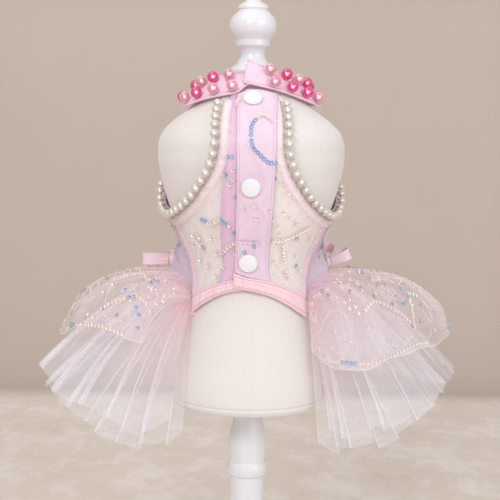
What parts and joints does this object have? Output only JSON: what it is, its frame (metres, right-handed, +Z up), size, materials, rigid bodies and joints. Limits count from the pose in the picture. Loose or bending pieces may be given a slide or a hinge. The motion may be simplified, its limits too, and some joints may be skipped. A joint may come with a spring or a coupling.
{
  "type": "dog tulle dress on dress form",
  "caption": "Small dog's halter dress with a sequined bodice and a layered pleated tulle skirt, shown on a limbless dress form on a turned column and round base.",
  "frame": {"origin": "centre of the round base's underside", "axes": "+Z up along the column, -Y out of the belly side with the placket, +X towards a viewer's right when facing that side"},
  "size_m": [0.2938, 0.2204, 0.4312],
  "materials": {
    "painted_wood": "white gloss paint over turned wood",
    "form_cover": "cream jersey stretched over a foam form",
    "collar_cloth": "pink-lilac satin weave, interfaced",
    "lilac_satin": "lilac polyester satin, soft sheen",
    "sequin_mesh": "sheer embroidered mesh with small cup sequins",
    "sheer_binding": "folded strip of sheer mesh",
    "pink_binding": "salmon pink woven tape, matt",
    "tulle": "pleated nylon tulle, translucent",
    "pearl": "pearl lacquer on round beads",
    "satin_ribbon": "pink satin ribbon with a bright sheen",
    "snap_cap": "white gloss moulded cap"
  },
  "bodies": {
    "root": {"stand_base": "painted_wood", "stand_column": "painted_wood", "neck_finial": "painted_wood", "form_torso": "form_cover", "collar": "collar_cloth", "placket_under": "lilac_satin", "placket_over": "lilac_satin", "snap_cap_1": "snap_cap", "snap_cap_2": "snap_cap", "snap_cap_3": "snap_cap", "bodice_front_left": "sequin_mesh", "bodice_front_right": "sequin_mesh", "side_seam_left": "pink_binding", "side_seam_right": "pink_binding", "bodice_back": "lilac_satin", "armhole_binding_left": "sheer_binding", "pearl_trim_left": "pearl", "armhole_binding_right": "sheer_binding", "pearl_trim_right": "pearl", "hem_binding_left": "pink_binding", "hem_binding_right": "pink_binding", "skirt_sequin": "sequin_mesh", "skirt_tulle_upper": "tulle", "skirt_tulle_under": "tulle", "bow_left_knot": "satin_ribbon", "bow_left_loop_front": "satin_ribbon", "bow_left_loop_rear": "satin_ribbon", "bow_right_knot": "satin_ribbon", "bow_right_loop_front": "satin_ribbon", "bow_right_loop_rear": "satin_ribbon"}
  },
  "joints": []
}
